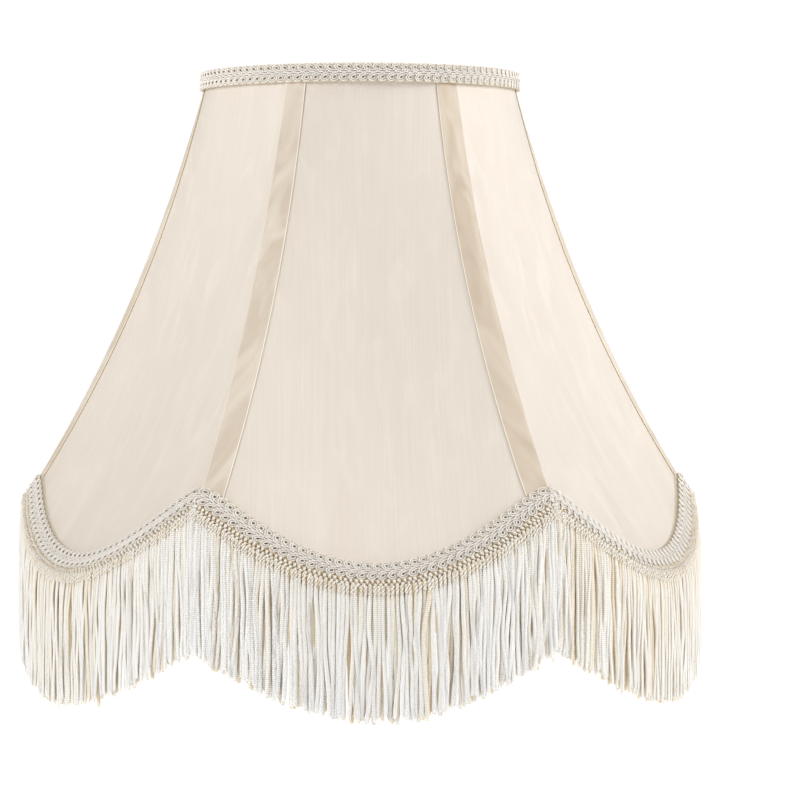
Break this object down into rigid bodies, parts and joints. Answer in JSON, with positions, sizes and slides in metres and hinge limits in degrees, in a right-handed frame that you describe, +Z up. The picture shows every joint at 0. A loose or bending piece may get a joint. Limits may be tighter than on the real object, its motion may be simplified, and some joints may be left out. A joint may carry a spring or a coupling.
{
  "type": "lamp shade",
  "caption": "Scalloped bell lamp shade on a wire frame with a spider fitter, stretched cloth panels, a lining, gimp braid and a cord fringe.",
  "frame": {"origin": "centre of the hole in the fitter's washer, halfway through its thickness", "axes": "+Z up along the shade's axis, -Y towards the front panel, +X to the viewer's right"},
  "size_m": [0.3302, 0.3302, 0.2989],
  "materials": {
    "white_paint": "smooth white enamel",
    "cover_cloth": "cream slub silk-look cloth with a soft sheen",
    "lining_cloth": "off-white satin-weave lining",
    "binding_tape": "beige woven tape",
    "gimp_braid": "ivory looped gimp braid",
    "fringe_cord": "ivory twisted rayon cord"
  },
  "bodies": {
    "root": {"fitter_washer": "white_paint", "spider_arm_1": "white_paint", "spider_arm_2": "white_paint", "spider_arm_3": "white_paint", "top_ring": "white_paint", "rib_front_right": "white_paint", "rib_right": "white_paint", "rib_back_right": "white_paint", "rib_back_left": "white_paint", "rib_left": "white_paint", "rib_front_left": "white_paint", "scallop_wire_front": "white_paint", "scallop_wire_front_right": "white_paint", "scallop_wire_back_right": "white_paint", "scallop_wire_back": "white_paint", "scallop_wire_back_left": "white_paint", "scallop_wire_front_left": "white_paint", "cover_front": "cover_cloth", "cover_front_right": "cover_cloth", "cover_back_right": "cover_cloth", "cover_back": "cover_cloth", "cover_back_left": "cover_cloth", "cover_front_left": "cover_cloth", "lining_front": "lining_cloth", "lining_front_right": "lining_cloth", "lining_back_right": "lining_cloth", "lining_back": "lining_cloth", "lining_back_left": "lining_cloth", "lining_front_left": "lining_cloth", "top_binding": "binding_tape", "top_gimp": "gimp_braid", "fringe_heading_front": "binding_tape", "fringe_heading_front_right": "binding_tape", "fringe_heading_back_right": "binding_tape", "fringe_heading_back": "binding_tape", "fringe_heading_back_left": "binding_tape", "fringe_heading_front_left": "binding_tape", "hem_gimp_front": "gimp_braid", "hem_gimp_front_right": "gimp_braid", "hem_gimp_back_right": "gimp_braid", "hem_gimp_back": "gimp_braid", "hem_gimp_back_left": "gimp_braid", "hem_gimp_front_left": "gimp_braid", "fringe_front": "fringe_cord", "fringe_front_right": "fringe_cord", "fringe_back_right": "fringe_cord", "fringe_back": "fringe_cord", "fringe_back_left": "fringe_cord", "fringe_front_left": "fringe_cord"}
  },
  "joints": []
}
